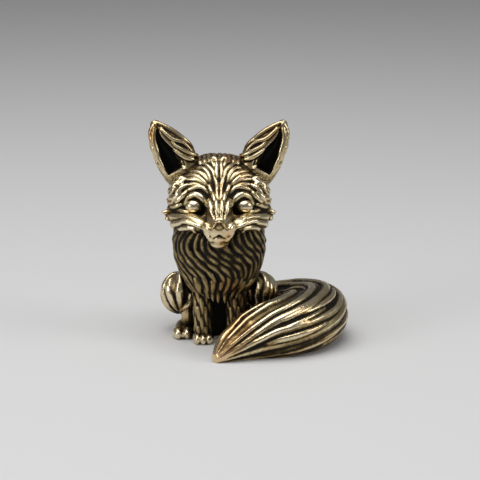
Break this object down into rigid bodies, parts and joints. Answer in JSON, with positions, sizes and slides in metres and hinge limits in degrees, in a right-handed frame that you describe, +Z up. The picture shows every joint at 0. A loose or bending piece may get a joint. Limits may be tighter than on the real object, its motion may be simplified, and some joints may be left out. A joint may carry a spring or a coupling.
{
  "type": "fox figurine",
  "caption": "Small sitting fox ornament in antiqued cast brass, with splayed cupped ears, a shaggy chest ruff and a full brush tail curled round its left side to the front.",
  "frame": {"origin": "middle of the flat seat under the torso", "axes": "+Z up from the seat to the ears, -Y the way the fox looks, +X towards the side that the tail lies on"},
  "size_m": [0.0304, 0.027, 0.034],
  "materials": {
    "brass": "cast brass with a dark antique patina in the recesses, polished on the raised fur"
  },
  "bodies": {
    "root": {"torso": "brass", "head": "brass", "chest_ruff": "brass", "nose": "brass", "tail": "brass", "right_ear": "brass", "left_ear": "brass", "right_eye": "brass", "left_eye": "brass", "right_foreleg": "brass", "left_foreleg": "brass", "right_forepaw": "brass", "left_forepaw": "brass", "right_haunch": "brass", "left_haunch": "brass", "right_hind_foot": "brass", "left_hind_foot": "brass"}
  },
  "joints": []
}
